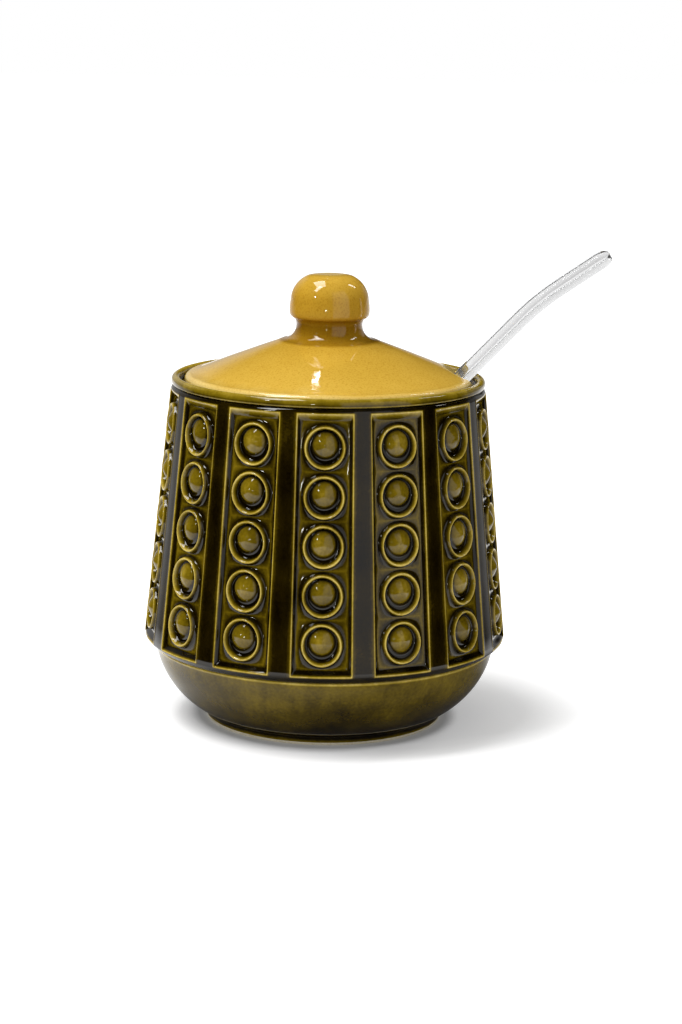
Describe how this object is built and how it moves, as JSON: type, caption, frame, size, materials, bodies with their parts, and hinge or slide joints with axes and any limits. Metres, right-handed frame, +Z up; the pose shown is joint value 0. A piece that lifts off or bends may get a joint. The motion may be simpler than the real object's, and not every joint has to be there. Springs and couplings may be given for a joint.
{
  "type": "lidded jar",
  "caption": "Round stoneware jar with framed panels of raised rings and bosses, a conical knobbed lid with a round bite in its edge, and a clear serving spoon standing in it.",
  "frame": {"origin": "centre of the foot ring, on the table that the jar stands on", "axes": "+Z up through the knob; -Y is the pictured side, with a panel of the relief facing it; the spoon leans out towards +X, 6 degrees round to +Y"},
  "size_m": [0.1541, 0.1208, 0.1572],
  "materials": {
    "pot_glaze": "gloss olive glaze that breaks gold on raised edges",
    "lid_glaze": "gloss mustard glaze, finely flecked",
    "clear_plastic": "clear and colourless"
  },
  "bodies": {
    "pot": {"pot": "pot_glaze"},
    "lid": {"lid": "lid_glaze"},
    "spoon": {"spoon": "clear_plastic"}
  },
  "joints": [
    {"name": "lid_lift", "type": "slide", "parent": "pot", "child": "lid", "axis": [0, 0, 1], "range_m": [0, 0.06]},
    {"name": "spoon_draw", "type": "slide", "parent": "pot", "child": "spoon", "axis": [0.6957, 0.0731, 0.7146], "range_m": [0, 0.08]}
  ]
}
